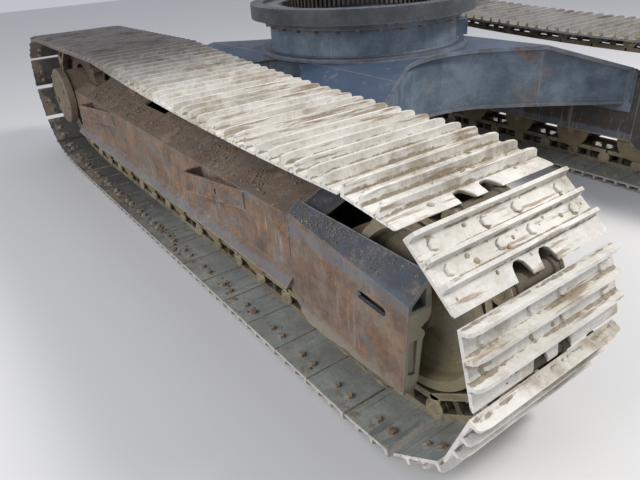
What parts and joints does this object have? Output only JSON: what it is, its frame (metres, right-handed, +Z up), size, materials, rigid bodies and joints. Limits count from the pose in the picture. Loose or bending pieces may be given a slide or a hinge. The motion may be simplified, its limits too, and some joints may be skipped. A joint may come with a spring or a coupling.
{
  "type": "crawler excavator undercarriage",
  "caption": "Crawler undercarriage with two track units, an X-shaped car body, a turning slewing ring on a turret, a centre swivel joint and turning front idlers.",
  "frame": {"origin": "on the ground, under the slewing axis, in the middle of the tracks", "axes": "+X forward to the idlers, +Y to the left track, +Z up along the slewing axis"},
  "size_m": [3.6513, 2.49, 0.906],
  "materials": {
    "body_paint": "worn blue-grey paint with rust along its edges",
    "ring_steel": "machined and greased steel",
    "ring_paint": "dull dark grey paint",
    "swivel_paint": "grey paint",
    "machined_steel": "turned steel",
    "frame_paint": "blue-grey paint under rust and dried mud",
    "guide_paint": "blue-grey paint worn to rust",
    "yoke_paint": "muddy grey paint",
    "spring_steel": "oiled spring steel",
    "idler_iron": "cast face with dried mud, tread worn bright",
    "roller_iron": "rusty cast iron, tread worn bright",
    "bracket_paint": "grey paint under dust",
    "drive_paint": "paint covered with dried mud",
    "sprocket_iron": "cast steel, teeth worn bright",
    "track_steel": "dry dusty steel, ridges worn bright"
  },
  "bodies": {
    "root": {"car_body_core": "body_paint", "leg_front_left": "body_paint", "leg_front_right": "body_paint", "leg_rear_left": "body_paint", "leg_rear_right": "body_paint", "turret": "body_paint", "slew_inner_race": "ring_steel", "swivel_body": "swivel_paint", "idler_axle_left": "machined_steel", "idler_axle_right": "machined_steel", "frame_left": "frame_paint", "frame_right": "frame_paint", "steps_left": "frame_paint", "steps_right": "frame_paint", "guide_left": "guide_paint", "guide_right": "guide_paint", "yoke_left": "yoke_paint", "yoke_right": "yoke_paint", "recoil_spring_left": "spring_steel", "recoil_spring_right": "spring_steel", "bottom_rollers_left": "roller_iron", "bottom_rollers_right": "roller_iron", "carrier_roller_left": "roller_iron", "carrier_roller_right": "roller_iron", "drive_bracket_left": "bracket_paint", "drive_bracket_right": "bracket_paint", "final_drive_left": "drive_paint", "final_drive_right": "drive_paint", "sprocket_left": "sprocket_iron", "sprocket_right": "sprocket_iron", "track_left": "track_steel", "track_right": "track_steel"},
    "slew_ring": {"slew_outer_race": "ring_paint"},
    "swivel": {"swivel_rotor": "machined_steel"},
    "idler_wheel_left": {"idler_left": "idler_iron"},
    "idler_wheel_right": {"idler_right": "idler_iron"}
  },
  "joints": [
    {"name": "slew_turn", "type": "hinge", "parent": "root", "child": "slew_ring", "pos_m": [0, 0, 0.868], "axis": [0, 0, 1], "continuous": true},
    {"name": "swivel_turn", "type": "hinge", "parent": "root", "child": "swivel", "pos_m": [0, 0, 0.6], "axis": [0, 0, 1], "continuous": true},
    {"name": "idler_turn_left", "type": "hinge", "parent": "root", "child": "idler_wheel_left", "pos_m": [1.47, 0.995, 0.357], "axis": [0, 1, 0], "continuous": true},
    {"name": "idler_turn_right", "type": "hinge", "parent": "root", "child": "idler_wheel_right", "pos_m": [1.47, -0.995, 0.357], "axis": [0, 1, 0], "continuous": true}
  ]
}
